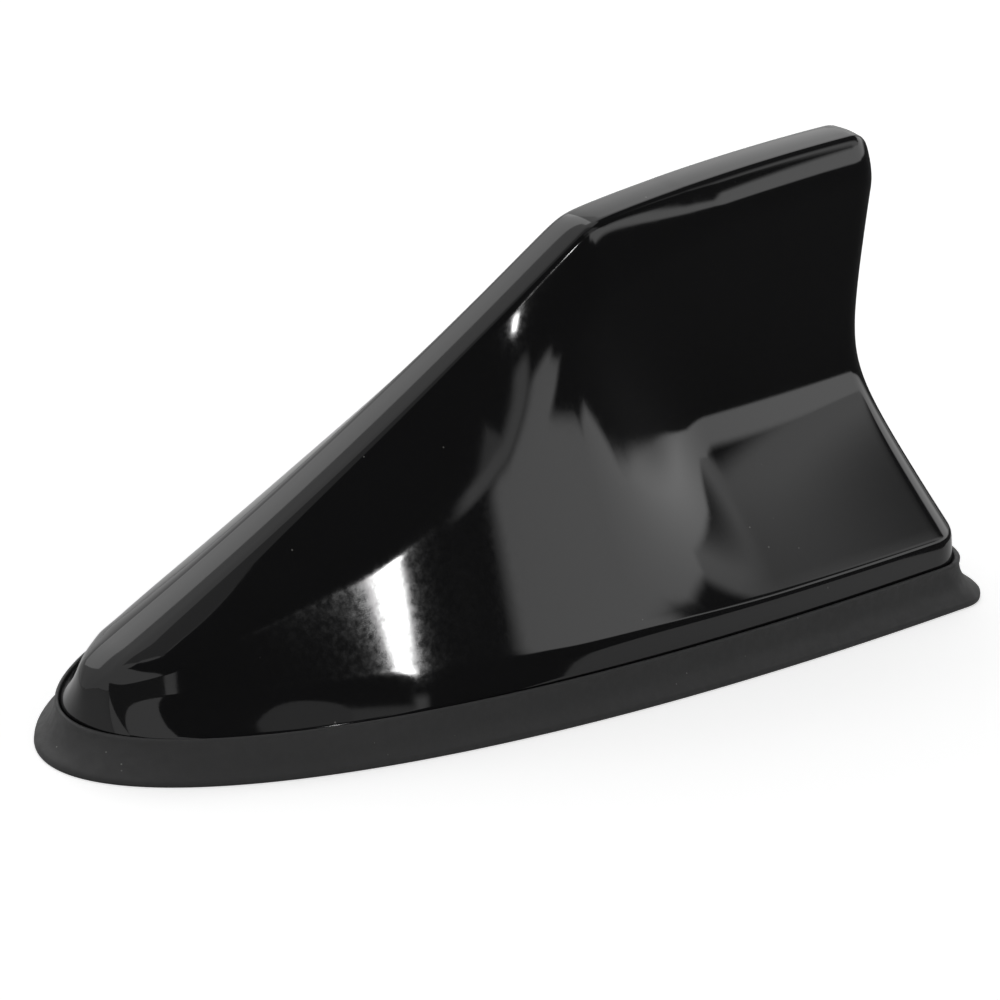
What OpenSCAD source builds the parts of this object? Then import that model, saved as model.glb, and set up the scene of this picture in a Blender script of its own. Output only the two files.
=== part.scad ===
// Shark fin roof aerial: a hollow moulded fin on a rubber skirt, closed from below
// by a moulded base that carries the amplifier and the upright radiator board.
// Millimetres, +Z up, nose towards -X, roof surface at z = 0.

/* [Footprint] */
// Length of the rubber skirt on the roof
foot_len = 168; // [150:1:190]
// Width of the rubber skirt on the roof
foot_w = 71.6; // [64:0.2:80]
// How far the rubber skirt stands out beyond the fin
skirt_w = 3.5; // [2.8:0.1:4.5]
// Fullness of the nose in plan
plan_power = 2.4; // [2.1:0.1:2.8]
// Radius of the two rear corners of the fin in plan
corner_r = 8; // [5:0.5:11]
// Radius of the two rear corners of the rubber skirt in plan
skirt_corner_r = 7.5; // [5:0.5:11]

/* [Fin outline] */
// Height of the top edge at the tip
fin_h = 65.8; // [60:0.2:72]
// Place of the kink where the leading edge meets the top edge
kink_x = 13; // [6:1:20]
// Radius of the slight crown along the top edge
top_r = 588; // [400:4:900]
// Place of the highest point of the top edge
crest_x = 68; // [60:1:74]
// Slope of the leading edge at the kink, in degrees
lead_slope = 32.3; // [30:0.1:34]
// Radius of the slight hollow along the leading edge
lead_r = 458; // [400:2:600]
// Rounding of the kink
kink_round = 0.6; // [0.3:0.1:1.5]
// Length of the rounded bull nose
nose_r = 6; // [4:0.5:10]
// Drop of the rounded bull nose
nose_drop = 2.5; // [1.5:0.5:4]
// Distance of the neck of the trailing edge ahead of the rear of the fin
neck_in = 1.5; // [0.5:0.1:3]
// Height of the neck of the trailing edge
neck_z = 46; // [40:1:50]
// Radius of the tip between the top edge and the trailing edge
tip_r = 6; // [4:0.5:7]

/* [Fin section] */
// Width of the flat band along the leading and top edges
band_w = 5.6; // [4.6:0.2:6.6]
// Radius of the edges of the flat band
band_edge_r = 0.8; // [0.5:0.1:1.2]
// Thickness of the blade below the top edge
blade_w = 12; // [11.6:0.2:13]
// Depth of the rounded shoulder under the rear part of the top edge
shoulder_d = 7.2; // [6:0.2:9]
// Growth of the shoulder depth towards the nose, per millimetre
shoulder_fan = 0.2; // [0.1:0.02:0.26]
// Place at which the shoulder starts to grow
fan_from = 40; // [30:1:50]
// Greatest share of the flank's height that the shoulder takes
shoulder_share = 0.45; // [0.35:0.01:0.6]
// Height at which the flank starts to flare out
flare_z = 28.6; // [26:0.2:31]
// Softness of the bend into the flare
flare_soft = 5.2; // [4:0.2:8]
// Softness of that bend at the nose, where the flank is nearly straight
nose_flare_soft = 12; // [8:1:16]
// Climb of the start of the flare towards the leading edge
flare_climb = 20; // [14:1:22]
// Place at which the flare starts to climb
climb_from = 36; // [30:1:44]
// Place at which the flare has climbed in full
climb_to = 4; // [-6:1:10]
// Radius of the vertical edges along the trailing edge
trail_r = 5.6; // [4.6:0.1:5.7]

/* [Plinth] */
// Height of the seam between the fin and the rubber skirt
seam_z = 6; // [5.6:0.1:7]
// Height of the crease above the rear part of the plinth
crease_z = 10.2; // [9.6:0.1:11.5]
// Height of the crease around the nose
nose_crease_z = 9.8; // [9:0.1:11]
// Lean of the plinth wall up to the crease at the rear
wall_lean = 0.8; // [0.4:0.1:1.2]
// Lean of the plinth wall up to the crease around the nose
nose_lean = 3.8; // [2.4:0.1:4.4]
// Rounding of the crease at the rear
crease_r = 0.7; // [0.4:0.1:1.2]
// Rounding of the crease around the nose
nose_crease_r = 2.4; // [1.5:0.1:3]

/* [Shell wall] */
// Wall of the fin
wall = 2; // [1.6:0.1:2.2]
// Diameter of the screw bosses in the fin
boss_d = 6.4; // [6:0.1:7]
// Height at which the side bosses run into the flank
boss_z = 13; // [12.4:0.1:13.6]

/* [Gasket] */
// Thickness of the web that the fin is clamped on
web_t = 1.6; // [1.2:0.1:2]
// Reach of the web inside the fin's outline
web_in = 5.4; // [4.5:0.1:6]
// Thickness of the collar around the fin
collar_t = 0.6; // [0.4:0.1:0.9]
// Height of the lip at the roof
lip_h = 1.1; // [0.8:0.1:1.5]

/* [Base] */
// Thickness of the floor of the base
floor_t = 1.9; // [1.6:0.1:2.4]
// Height of the underside of the base rim above the roof
rim_lift = 0.4; // [0.2:0.1:0.8]
// Width of the base rim around the adhesive pad
rim_w = 1.8; // [1.4:0.1:2.4]
// Height of the upstand inside the gasket web above the floor
upstand_h = 4; // [3:0.5:5]
// Thickness of the upstand
upstand_t = 1.4; // [1:0.1:1.8]

/* [Adhesive pad] */
// Thickness of the foam adhesive pad
pad_t = 1.1; // [0.8:0.1:1.4]

/* [Case screws] */
// Place of the nose screw
screw_nose_x = -60; // [-64:1:-56]
// Place of the middle pair of screws
screw_mid_x = -6; // [-10:1:0]
// Place of the rear pair of screws
screw_rear_x = 60; // [56:1:64]
// Core diameter of the case screws
screw_d = 2.5; // [2.2:0.1:2.9]
// Length of the case screws under the head
screw_len = 7.5; // [6.5:0.1:8]
// Head diameter of the case screws
screw_head_d = 5; // [4.4:0.1:5.4]
// Head height of the case screws
screw_head_h = 1.5; // [1.2:0.1:1.8]

/* [Cable exit] */
// Place of the cable exit
exit_x = -28; // [-31:1:-26]
// Bore of the grommet for the aerial lead
exit_bore = 3.2; // [2.6:0.1:4]
// Outside diameter of the grommet in the base
exit_d = 9; // [8:0.5:10]
// Diameter of the grommet's flanges
exit_flange_d = 12; // [11:0.5:13]

/* [Amplifier board] */
// Front edge of the amplifier board
board_x0 = -16; // [-18:1:-14]
// Length of the amplifier board
board_len = 66; // [62:1:68]
// Width of the amplifier board
board_w = 33; // [30:1:34]
// Thickness of the amplifier board
board_t = 1.6; // [1.2:0.1:2]
// Height of the posts that carry the amplifier board
post_h = 5; // [4.5:0.1:6]
// Diameter of the posts that carry the amplifier board
post_d = 5.4; // [5:0.1:6]
// Distance of the posts from the board's edges
post_in = 3.4; // [3:0.1:4]
// Core diameter of the board screws
board_screw_d = 1.8; // [1.6:0.1:2]

/* [Radiator] */
// Thickness of the upright radiator board
rad_t = 1.2; // [1:0.1:1.4]
// Gap between the radiator board and the inside of the fin
rad_gap = 1.6; // [1.2:0.1:2.4]
// Front edge of the radiator board
rad_x0 = -18; // [-20:1:-16]
// Distance of the radiator board ahead of the rear of the fin
rad_rear_in = 10.5; // [9:0.5:14]
// Height of the lower edge of the radiator board above the amplifier board
rad_lift = 17; // [16:1:20]
// Width of each foot of the radiator board
foot_tab_w = 9; // [7:0.5:11]
// Number of upright runs in the copper trace
trace_runs = 11; // [7:2:15]
// Width of the copper trace
trace_w = 3; // [2:0.2:4]

/* [Loading coil] */
// Mean diameter of the loading coil
coil_d = 9; // [8:0.2:10]
// Wire diameter of the loading coil
coil_wire = 0.8; // [0.6:0.1:1]
// Number of turns of the loading coil
coil_turns = 7; // [5:1:9]
// Pitch of the loading coil
coil_pitch = 1.5; // [1.3:0.1:1.8]

/* [Fits] */
// Gap between parts that sit beside each other
fit = 0.15; // [0.1:0.05:0.3]

/* [Hidden] */

// Ends and half width of the fin's outline at the seam
fin_x0 = -foot_len / 2 + skirt_w;
fin_x1 = foot_len / 2 - skirt_w;
fin_half = foot_w / 2 - skirt_w;

// Levels of the stack, counted up from the roof
floor_z0 = pad_t;
floor_z1 = floor_z0 + floor_t;
web_z1 = floor_z1 + web_t;
board_z0 = floor_z1 + post_h;
board_z1 = board_z0 + board_t;
rad_z0 = board_z1 + rad_lift;
rad_x1 = fin_x1 - rad_rear_in;

black_gloss = "#101013";
black_rubber = "#232325";
black_plastic = "#1b1c1e";
steel = "#b9bcc0";
copper = "#c77b4a";
fibreglass = "#1f5a3c";

// Base, seats and board details
base_in = 1.6;
seat_h = 1.8;
tip_room = 0.5;
board_screw_len = 3.6;
rib_y = 12;
rib_t = 1.6;
socket_y = 8.5 - board_w / 2;
can_x = board_x0 + 0.47 * board_len;
can_len = 0.288 * board_len;
can_w = 20;
can_h = 5;
can_t = 0.4;
side_row = 13.2;
side_count = 3;
drum_d = 5.2;
drum_core_d = 3.4;
drum_h = 4.5;
drum_cheek = 0.9;
case_d = 5;
case_h = 5;
case_foot = 0.8;
chip_x0 = can_x + can_len + 2;
chip_x1 = board_x0 + board_len - 2;
ceramic = [2, 1.2, 1];
resistor = [1.6, 0.8, 0.5];
coil_x = board_x0 + 0.175 * board_len;
coil_foot = 1.2;
coil_steps = 16;
trace_t = 0.2;
trace_edge = 3;
clip_w = 6;
clip_t = 0.4;
clip_h = 4;
foam_len = 14;
foam_in = 6;
foam_w = 3.2;
foam_h = 5.5;

// Resolution of the swept surfaces
side_steps = 24;
corner_steps = 6;
nose_steps = 8;
lead_steps = 10;
kink_steps = 7;
top_steps = 8;
turn_steps = 5;
flank_steps = 12;
bend_steps = 3;
inner_flank_steps = 6;

// Part of a value between 0 and 1, with soft ends
function soft_step(u) = let(c = max(0, min(1, u))) c * c * (3 - 2 * c);

// Smaller of two values with the corner between them rounded by r
function soft_min(a, b, r) = (a + b) / 2 - sqrt(pow((a - b) / 2, 2) + r * r);

// Half width of the teardrop outline at x, grown outwards by off
function plan_half(x, off = 0) =
    let(u = (x - fin_x0 + off) / (fin_x1 - fin_x0 + 2 * off))
    (fin_half + off) * sqrt(max(0, 1 - pow(1 - max(0, min(1, u)), plan_power)));

// Height of the top edge at x
function top_line(x) = fin_h - pow(x - crest_x, 2) / (2 * top_r);

// Height of the leading edge at x
function lead_line(x) =
    top_line(kink_x) + tan(lead_slope) * (x - kink_x) + pow(x - kink_x, 2) / (2 * lead_r);

// Fall of the bull nose at x
function nose_fall(x) =
    let(u = max(0, 1 - (x - fin_x0) / nose_r))
    nose_drop * (1 - sqrt(max(0, 1 - u * u)));

// Height of the spine at x
function spine_z(x) =
    (x < kink_x + 20 ? soft_min(lead_line(x), top_line(x), kink_round) : top_line(x))
    - nose_fall(x);

// Slope of the spine at x
function spine_slope(x) = (spine_z(x + 0.5) - spine_z(x - 0.5));

// Share of the nose in the plinth's form at x, then the crease's height and rounding
// there, and the half width that the leaning wall has come in to
function nose_share(x) = soft_step((kink_x - x) / (0.75 * (kink_x - fin_x0)));
function crease_at(x) =
    min(crease_z + (nose_crease_z - crease_z) * nose_share(x),
        seam_z + 0.5 * (spine_z(x) - seam_z));
function crease_r_at(x) =
    min(crease_r + (nose_crease_r - crease_r) * nose_share(x), 0.6 * (crease_at(x) - seam_z));
function plinth_half(x) =
    let(w = plan_half(x), lean = wall_lean + (nose_lean - wall_lean) * pow(nose_share(x), 2))
    w - min(lean, 0.27 * w);

// Half width of the flat band and half thickness of the blade at x
function band_half(x) = min(band_w / 2, 0.45 * plan_half(x));
function blade_half(x) = min(blade_w / 2, 0.5 * plan_half(x));

// Depth of the shoulder below the spine at x
function shoulder_at(x) =
    min(shoulder_d + shoulder_fan * max(0, fan_from - x),
        shoulder_share * (spine_z(x) - crease_at(x)));

// Rise of the flare at x and height z, before it is scaled to the plinth. It starts higher
// and bends more softly towards the nose.
function flare(x, z) =
    let(soft = flare_soft + (nose_flare_soft - flare_soft) * nose_share(x),
        start = flare_z + flare_climb * soft_step((climb_from - x) / (climb_from - climb_to)))
    (start - z) + sqrt(pow(start - z, 2) + soft * soft);

// Half width of the fin's flank at x and height z
function flank(x, z) =
    let(zs = spine_z(x), zc = crease_at(x), b = blade_half(x), h = band_half(x),
        d = shoulder_at(x), w = plinth_half(x),
        u = max(0, (z - zs + d) / max(0.01, d)),
        f0 = flare(x, zc), f1 = flare(x, zs))
    b - (b - h) * u * u + (w - b) * (flare(x, z) - f1) / max(0.01, f0 - f1);

// Slope of the flank, in width for each millimetre of height
function flank_slope(x, z) = (flank(x, z + 0.1) - flank(x, z - 0.1)) / 0.2;

// Point on a quadratic curve from a to c that is drawn towards b
function bend(a, b, c, t) = (1 - t) * (1 - t) * a + 2 * t * (1 - t) * b + t * t * c;

// Half section of the outside at x, as [half width, height] from spine to rim
function outer_half(x) =
    let(zs = spine_z(x), zc = crease_at(x), w = plinth_half(x), h = band_half(x),
        er = max(0.15, min(band_edge_r, 0.4 * h)), cr = crease_r_at(x),
        lo = [flank(x, zc + 0.7 * cr), zc + 0.7 * cr],
        hi_z = zs - er, hi = [flank(x, hi_z), hi_z])
    concat(
        [[0, zs + 0.12]],
        [for (k = [0:bend_steps]) bend([h - er, zs], [h, zs], hi, k / bend_steps)],
        [for (k = [1:flank_steps - 1])
            let(t = k / flank_steps, z = hi_z + (lo[1] - hi_z) * pow(t, 1.15)) [flank(x, z), z]],
        [for (k = [0:bend_steps])
            bend(lo, [w, zc], [w + (plan_half(x) - w) * cr / (zc - seam_z), zc - cr], k / bend_steps)],
        [[plan_half(x), seam_z], [plan_half(x), web_z1]]);

// Half section of the inside at x, as [half width, height] from spine to rim
function inner_y(x, z) = flank(x, z) - wall * sqrt(1 + pow(flank_slope(x, z), 2));
function inner_top(x) = spine_z(x) - wall * sqrt(1 + pow(spine_slope(x), 2));
function inner_half(x) =
    let(zt = inner_top(x), zc = crease_at(x), w = plan_half(x, -wall),
        lo_z = min(zc, zt - 0.5), n = inner_flank_steps, cap = min(1.4, 0.5 * w))
    concat(
        [[0, zt + 0.08]],
        [for (k = [0:n])
            let(t = k / n, z = zt + (lo_z - zt) * pow(t, 1.2))
            [min(w, max(cap, inner_y(x, z))), z - 0.3 * t * t]],
        [[w, (lo_z + web_z1) / 2], [w, web_z1]]);

// Rear of the fin at height z
function rear_x(z) =
    fin_x1 - neck_in + neck_in * pow(max(0, neck_z - z) / (neck_z - seam_z), 2)
    + 0.3 * neck_in * pow(max(0, z - neck_z) / (fin_h - neck_z), 2);

// Radius of the turn from the flank into the rear face for a half width y
function turn_r(y) =
    trail_r + (corner_r - trail_r) * max(0, y - blade_w / 2) / (fin_half - blade_w / 2);

// Places along the fin of the sections ahead of the rear turn, ending at x1
function places(x0, x1) =
    let(a = fin_x0 + 20, b = kink_x - 9, c = kink_x + 8)
    concat(
        [for (k = [0:nose_steps - 1]) x0 + (a - x0) * pow(k / nose_steps, 2)],
        [for (k = [0:lead_steps - 1]) a + (b - a) * k / lead_steps],
        [for (k = [0:kink_steps - 1]) b + (c - b) * k / kink_steps],
        [for (k = [0:top_steps]) c + (x1 - c) * k / top_steps]);

// One line of points along the fin: place k of the half section, turned round the rear
// by radius r at rear place xr, with the points in it drawn down by drop at the tip
function line_point(half, xs, k, i, last, r, xr, drop) =
    let(n = len(xs) - 1)
    i <= n
        ? [xs[i], half[k][0], half[k][1]]
        : let(a = 90 * (i - n) / turn_steps)
          [xr - r * (1 - sin(a)), last[0] - min(r, 0.8 * last[0]) * (1 - cos(a)),
           last[1] - drop * (1 - cos(a))];

// Grid of points of a skin: rows run along the fin, columns from spine to rim
function skin(x0, inset, inner) =
    let(end = inner ? inner_half(fin_x1 - 3) : outer_half(fin_x1 - 3), cols = len(end))
    [for (k = [0:cols - 1])
        let(y = end[k][0], z = end[k][1],
            flat = k == 0 || y < band_w / 2 + 0.1 && z > fin_h - 2 * band_edge_r,
            near_top = soft_step((z - fin_h + 3 * tip_r) / (2.6 * tip_r)),
            drop = (tip_r - (inner ? wall : 0)) * near_top,
            r = max(0.8, (flat ? tip_r : turn_r(y) + (tip_r - trail_r) * near_top) - inset),
            xr = rear_x(z) - inset,
            xs = places(x0, xr - r), n = len(xs) - 1)
        [for (i = [0:n + turn_steps])
            let(half = inner ? inner_half(xs[min(i, n)]) : outer_half(xs[min(i, n)]))
            line_point(half, xs, k, i, half[k], r, xr, drop)]];

// Faces of a skin whose points start at first, seen from outside the solid,
// with flip for a skin that is seen from inside
function at(first, rows, cols, i, j) =
    i == 0 ? first + abs(j) : first + cols + (i - 1) * (2 * cols - 1) + j + cols - 1;
function quad(a, b, c, d, flip) =
    flip ? [[a, b, c], [a, c, d]] : [[a, c, b], [a, d, c]];
function skin_faces(first, rows, cols, flip) =
    concat(
        [for (i = [0:rows - 2], j = [1 - cols:cols - 2])
            each quad(at(first, rows, cols, i, j), at(first, rows, cols, i + 1, j),
                      at(first, rows, cols, i + 1, j + 1), at(first, rows, cols, i, j + 1), flip)],
        let(e = rows - 1)
        [for (j = [0:cols - 2])
            each j == 0
                ? [for (f = quad(at(first, rows, cols, e, -1), at(first, rows, cols, e, 1),
                                 at(first, rows, cols, e, 0), 0, flip)) if (max(f) > 0 && min(f) > 0) f]
                : quad(at(first, rows, cols, e, -j - 1), at(first, rows, cols, e, j + 1),
                       at(first, rows, cols, e, j), at(first, rows, cols, e, -j), flip)]);
function skin_points(grid) =
    let(cols = len(grid), rows = len(grid[0]))
    concat(
        [for (k = [0:cols - 1]) [grid[k][0][0], 0, grid[k][0][2]]],
        [for (i = [1:rows - 1], j = [1 - cols:cols - 1])
            let(p = grid[abs(j)][i]) [p[0], sign(j) * p[1], p[2]]]);

module fin_body() {
    outside = skin(fin_x0, 0, false);
    inside = skin(fin_x0 + wall, wall, true);
    rows = len(outside[0]);
    oc = len(outside);
    ic = len(inside);
    second = oc + (rows - 1) * (2 * oc - 1);
    rim = [for (i = [0:rows - 2], s = [-1, 1])
        each quad(at(0, rows, oc, i, s * (oc - 1)), at(0, rows, oc, i + 1, s * (oc - 1)),
                  at(second, rows, ic, i + 1, s * (ic - 1)), at(second, rows, ic, i, s * (ic - 1)),
                  s < 0)];
    rear_rim = quad(at(0, rows, oc, rows - 1, oc - 1), at(0, rows, oc, rows - 1, 1 - oc),
                    at(second, rows, ic, rows - 1, 1 - ic), at(second, rows, ic, rows - 1, ic - 1),
                    false);
    polyhedron(concat(skin_points(outside), skin_points(inside)),
               concat(skin_faces(0, rows, oc, false), skin_faces(second, rows, ic, true),
                      rim, rear_rim), convexity = 6);
}

// Screw places under the fin, as [x, y], clear of the rubber web, and the height at which
// each boss ends
side_y = function (x) min(inner_y(x, boss_z) - wall / 3,
                          plan_half(x, -web_in) - screw_d / 2 - 3 * fit);
screw_spots = [[screw_nose_x, 0],
               [screw_mid_x, side_y(screw_mid_x)], [screw_mid_x, -side_y(screw_mid_x)],
               [screw_rear_x, side_y(screw_rear_x)], [screw_rear_x, -side_y(screw_rear_x)]];
nose_boss_z = inner_top(screw_nose_x - boss_d / 2) + wall / 4;
seat_z1 = floor_z1 + seat_h;
head_z0 = floor_z0 + fit;
head_z1 = head_z0 + screw_head_h;
pilot_z1 = head_z1 + screw_len + tip_room;

module fin_shell() {
    color(black_gloss) difference() {
        union() {
            fin_body();
            for (p = screw_spots)
                translate([p[0], p[1], seat_z1 + fit])
                    cylinder(d = boss_d, h = (p[1] == 0 ? nose_boss_z : boss_z) - seat_z1 - fit);
        }
        for (p = screw_spots)
            translate([p[0], p[1], seat_z1]) cylinder(d = screw_d + 0.1, h = pilot_z1 - seat_z1);
    }
}

// Closed plan outline that stands off outside the fin's own outline
function half_outline(off) =
    let(rc = off > 0 ? corner_r + (skirt_corner_r - corner_r) * off / skirt_w : max(1.5, corner_r + off),
        x0 = fin_x0 - off, xc = fin_x1 + off - rc,
        yc = plan_half(xc, off) - rc)
    concat(
        [for (k = [0:side_steps]) let(x = x0 + (xc - x0) * pow(k / side_steps, 2))
            [x, plan_half(x, off)]],
        [for (k = [1:corner_steps]) let(a = 90 * k / corner_steps)
            [xc + rc * sin(a), yc + rc * cos(a)]]);
function outline(off) =
    let(h = half_outline(off), n = len(h))
    concat(h, [for (k = [n - 1:-1:1]) [h[k][0], -h[k][1]]]);

module slab(off, z0, z1) {
    translate([0, 0, z0]) linear_extrude(z1 - z0) polygon(outline(off));
}
module ring(off_out, off_in, z0, z1) {
    translate([0, 0, z0]) linear_extrude(z1 - z0) difference() {
        polygon(outline(off_out));
        polygon(outline(off_in));
    }
}

// Section of the rubber skirt as [distance outside the fin, height], once round
function gasket_section() =
    let(s = skirt_w, c = collar_t + fit, top = seam_z + 0.3, mid = (lip_h + seam_z) / 2)
    [[s, 0], [s, 0.6 * lip_h], [s - 0.25, lip_h], [s - 0.75, 1.35 * lip_h],
     [0.36 * s + c / 2, mid - 0.2], [0.14 * s + c, 0.75 * seam_z], [c, seam_z - 0.3],
     [c, top - 0.15], [c - 0.2, top], [fit, top - 0.1], [fit, web_z1],
     [-web_in, web_z1], [-web_in, floor_z1 + fit / 3], [-base_in + fit, floor_z1 + fit / 3],
     [-base_in + fit, 0]];

module gasket() {
    section = gasket_section();
    rings = [for (q = section) outline(q[0])];
    n = len(rings[0]);
    m = len(section);
    color(black_rubber)
        polyhedron([for (r = [0:m - 1], q = rings[r]) [q[0], q[1], section[r][1]]],
                   [for (r = [0:m - 1], k = [0:n - 1])
                       let(r2 = (r + 1) % m, k2 = (k + 1) % n)
                       each quad(r * n + k, r * n + k2, r2 * n + k2, r2 * n + k, true)],
                   convexity = 6);
}

// Places of the four posts under the amplifier board
board_posts = [for (x = [board_x0 + post_in, board_x0 + board_len - post_in], s = [-1, 1])
    [x, s * (board_w / 2 - post_in)]];

module base_plate() {
    color(black_plastic) difference() {
        union() {
            slab(-base_in, floor_z0, floor_z1);
            ring(-base_in, -base_in - rim_w, rim_lift, floor_z0);
            difference() {
                ring(-web_in - 2 * fit, -web_in - 2 * fit - upstand_t, floor_z1, floor_z1 + upstand_h);
                for (p = screw_spots)
                    translate([p[0], p[1], floor_z1]) cylinder(d = boss_d + 1, h = upstand_h + 1);
            }
            intersection() {
                slab(-web_in - fit, floor_z1, seat_z1);
                for (p = screw_spots)
                    translate([p[0], p[1], floor_z1]) cylinder(d = boss_d, h = seat_h);
            }
            for (p = board_posts)
                translate([p[0], p[1], floor_z1]) cylinder(d = post_d, h = post_h);
            for (s = [-1, 1])
                translate([board_x0 + board_len + 4, s * rib_y - rib_t / 2, floor_z1])
                    cube([screw_rear_x - board_x0 - board_len + 4, rib_t, seat_h]);
            translate([exit_x, 0, floor_z1]) difference() {
                cylinder(d = exit_flange_d + 4, h = 1.2);
                cylinder(d = exit_flange_d + 2 * fit, h = 2);
            }
        }
        for (p = screw_spots) translate([p[0], p[1], 0]) {
            cylinder(d = screw_head_d + 0.4, h = head_z1);
            cylinder(d = screw_d + 0.6, h = seat_z1 + 1);
        }
        for (p = board_posts)
            translate([p[0], p[1], board_z0 - board_screw_len])
                cylinder(d = board_screw_d + 0.1, h = board_screw_len + 1);
        translate([exit_x, 0, 0]) cylinder(d = exit_d, h = 2 * floor_z1);
    }
}

module adhesive_pad() {
    color("#3a3b3d") linear_extrude(pad_t) difference() {
        polygon(outline(-base_in - rim_w - fit));
        translate([exit_x, 0]) circle(d = exit_flange_d + 1);
    }
}

// Pan-head screw that points up, with its head's underside at z = 0 and a cross recess
module screw(d, len, head_d, head_h) {
    difference() {
        union() {
            translate([0, 0, -head_h]) cylinder(d = head_d, h = head_h);
            cylinder(d = d, h = len - d / 2);
            translate([0, 0, len - d / 2]) cylinder(d1 = d, d2 = 0.4 * d, h = d / 2);
        }
        for (a = [0, 90]) rotate(a)
            translate([-0.3 * head_d, -0.07 * head_d, -head_h - 1])
                cube([0.6 * head_d, 0.14 * head_d, 1 + 0.5 * head_h]);
    }
}

module case_screws() {
    color(steel) for (p = screw_spots)
        translate([p[0], p[1], head_z1]) screw(screw_d, screw_len, screw_head_d, screw_head_h);
}

module cable_grommet() {
    r = exit_d / 2 - fit;
    f = exit_flange_d / 2;
    b = exit_bore / 2;
    color(black_rubber) translate([exit_x, 0, 0]) rotate_extrude()
        polygon([[b, rim_lift], [f - 0.4, rim_lift], [f, floor_z0 - 0.3], [f, floor_z0],
                 [r, floor_z0], [r, floor_z1], [f, floor_z1], [f, floor_z1 + 0.8],
                 [b + 1.4, floor_z1 + 1.3], [b + 0.9, floor_z1 + 2.6], [b, floor_z1 + 2.6]]);
}

module amplifier_board() {
    color(fibreglass) translate([board_x0, -board_w / 2, board_z0]) linear_extrude(board_t)
        difference() {
            square([board_len, board_w]);
            for (p = board_posts)
                translate([p[0] - board_x0, p[1] + board_w / 2]) circle(d = board_screw_d + 0.6);
            for (y = [0, board_w]) translate([board_len / 2, y]) circle(d = 3);
        }
}

module board_screws() {
    color(steel) for (p = board_posts)
        translate([p[0], p[1], board_z1]) mirror([0, 0, 1])
            screw(board_screw_d, board_t + board_screw_len - 0.4, 2 * board_screw_d, 1.3);
}

// Board-mounted socket for the aerial lead, facing the cable exit
module coax_socket() {
    color("#c9a24a") translate([board_x0, socket_y, board_z1 + 3]) difference() {
        union() {
            translate([0.5, -3.2, -3]) cube([6, 6.4, 6]);
            translate([1, 0, 0]) rotate([0, -90, 0]) cylinder(d = 5, h = 5);
        }
        translate([2, 0, 0]) rotate([0, -90, 0]) cylinder(d = 2.6, h = 7);
    }
}

// Stamped can over the amplifier, open below, with vent holes and corner tabs
module shield_can() {
    color(steel) translate([can_x, 0, board_z1]) difference() {
        translate([0, -can_w / 2, 0]) cube([can_len, can_w, can_h]);
        translate([can_t, can_t - can_w / 2, -1]) cube([can_len - 2 * can_t, can_w - 2 * can_t, can_h + 1 - can_t]);
        for (x = [1:4], y = [-1:1])
            translate([x * can_len / 5, y * can_w / 4, can_h - 1]) cylinder(d = 1.6, h = 2);
        for (s = [-1, 1], x = [0.25, 0.75])
            translate([x * can_len - 1, s * can_w / 2 - 1, -1]) cube([2, 2, 1.6]);
    }
}

module amplifier_chip() {
    color("#26272a") translate([can_x + can_len / 2 - 2.5, -2, board_z1]) difference() {
        cube([5, 4, 1.4]);
        translate([0.8, 0.8, 1.2]) cylinder(d = 0.7, h = 1);
    }
    color(steel) for (s = [-1, 1], k = [0:3])
        translate([can_x + can_len / 2 - 2.1 + k * 1.27, s * 2.5 - 0.5, board_z1])
            cube([0.4, 1, 0.5]);
}

// Places of the round parts in a row beside the can, for a part of diameter d
function beside_can(d) = [for (k = [0:side_count - 1]) can_x + d / 2 + k * (can_len - d) / (side_count - 1)];

// Drum-core inductors beside the can
module filter_inductors() {
    color("#4a4d52") for (x = beside_can(drum_d))
        translate([x, side_row, board_z1]) {
            cylinder(d = drum_core_d, h = drum_h);
            cylinder(d = drum_d, h = drum_cheek);
            translate([0, 0, drum_h - drum_cheek]) cylinder(d = drum_d, h = drum_cheek);
        }
}

module electrolytic_capacitors() {
    color("#8f969e") for (x = beside_can(drum_d))
        translate([x, -side_row, board_z1]) {
            translate([-drum_d / 2, -drum_d / 2, 0]) cube([drum_d, drum_d, case_foot]);
            translate([0, 0, case_foot]) cylinder(d = case_d, h = case_h);
        }
}

// Chip parts spread in a row at y between the can and the end of the board
module chip_row(y, count, size) {
    for (k = [0:count - 1])
        translate([chip_x0 + k * (chip_x1 - chip_x0 - size[0]) / (count - 1), y - size[1] / 2, board_z1])
            cube(size);
}
module ceramic_capacitors() {
    color("#b99f7a") for (y = [board_w / 2 - 12, 8.5 - board_w / 2]) chip_row(y, 3, ceramic);
}
module resistors() {
    color("#2c2c30") for (y = [board_w / 2 - 9, 11.5 - board_w / 2]) chip_row(y, 4, resistor);
}

// Flanged former that carries the loading coil
module coil_former() {
    core = (coil_d / 2 - coil_wire / 2) * cos(180 / coil_steps) - fit / 3;
    top = coil_foot + (coil_turns + 1) * coil_pitch;
    color("#d8d5cc") translate([coil_x, 0, board_z1]) rotate_extrude()
        polygon([[core - 1.6, 0], [core + 1.6, 0], [core + 1.6, coil_foot], [core, coil_foot],
                 [core, top], [core + 1.4, top], [core + 1.4, top + 1], [core - 1.6, top + 1]]);
}

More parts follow.
